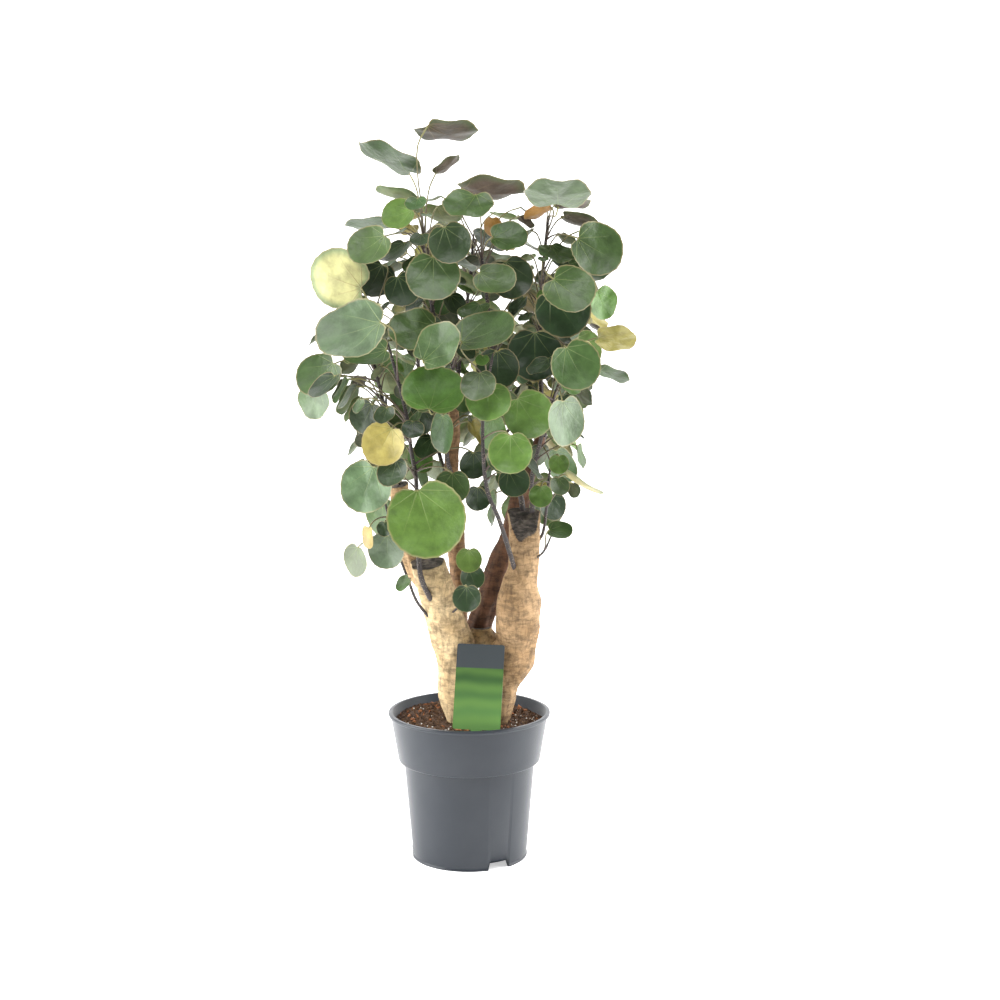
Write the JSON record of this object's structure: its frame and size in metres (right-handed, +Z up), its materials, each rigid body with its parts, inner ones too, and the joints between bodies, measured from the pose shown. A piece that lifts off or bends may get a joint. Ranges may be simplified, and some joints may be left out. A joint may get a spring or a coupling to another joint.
{
  "type": "potted aralia stump plant",
  "caption": "Potted Fabian aralia stump plant with sawn trunks and round cupped leaves in a grey nursery pot.",
  "frame": {"origin": "middle of the pot's flat underside", "axes": "+X to the right seen from the front, +Y to the back, +Z up along the pot's axis"},
  "size_m": [0.4255, 0.3821, 0.9317],
  "materials": {
    "slate_plastic": "moulded satin",
    "peat": "rough crumbs",
    "card": "printed satin",
    "bark": "rough bark",
    "leaf": "satin leaf"
  },
  "bodies": {
    "root": {"pot": "slate_plastic", "soil": "peat", "tag": "card", "trunk": "bark", "left_stump": "bark", "right_stump": "bark", "back_stump": "bark", "middle_bough": "bark", "left_bough": "bark", "top_spray": "leaf", "crown_spray": "leaf", "right_top_spray": "leaf", "right_spray": "leaf", "front_right_spray": "leaf", "front_spray": "leaf", "left_front_spray": "leaf", "left_spray": "leaf", "low_left_spray": "leaf", "centre_shoot": "leaf", "low_right_spray": "leaf", "stump_shoot": "leaf", "top_back_spray": "leaf", "back_left_spray": "leaf", "back_centre_spray": "leaf", "back_right_spray": "leaf", "low_back_right_spray": "leaf", "low_back_left_spray": "leaf"}
  },
  "joints": []
}
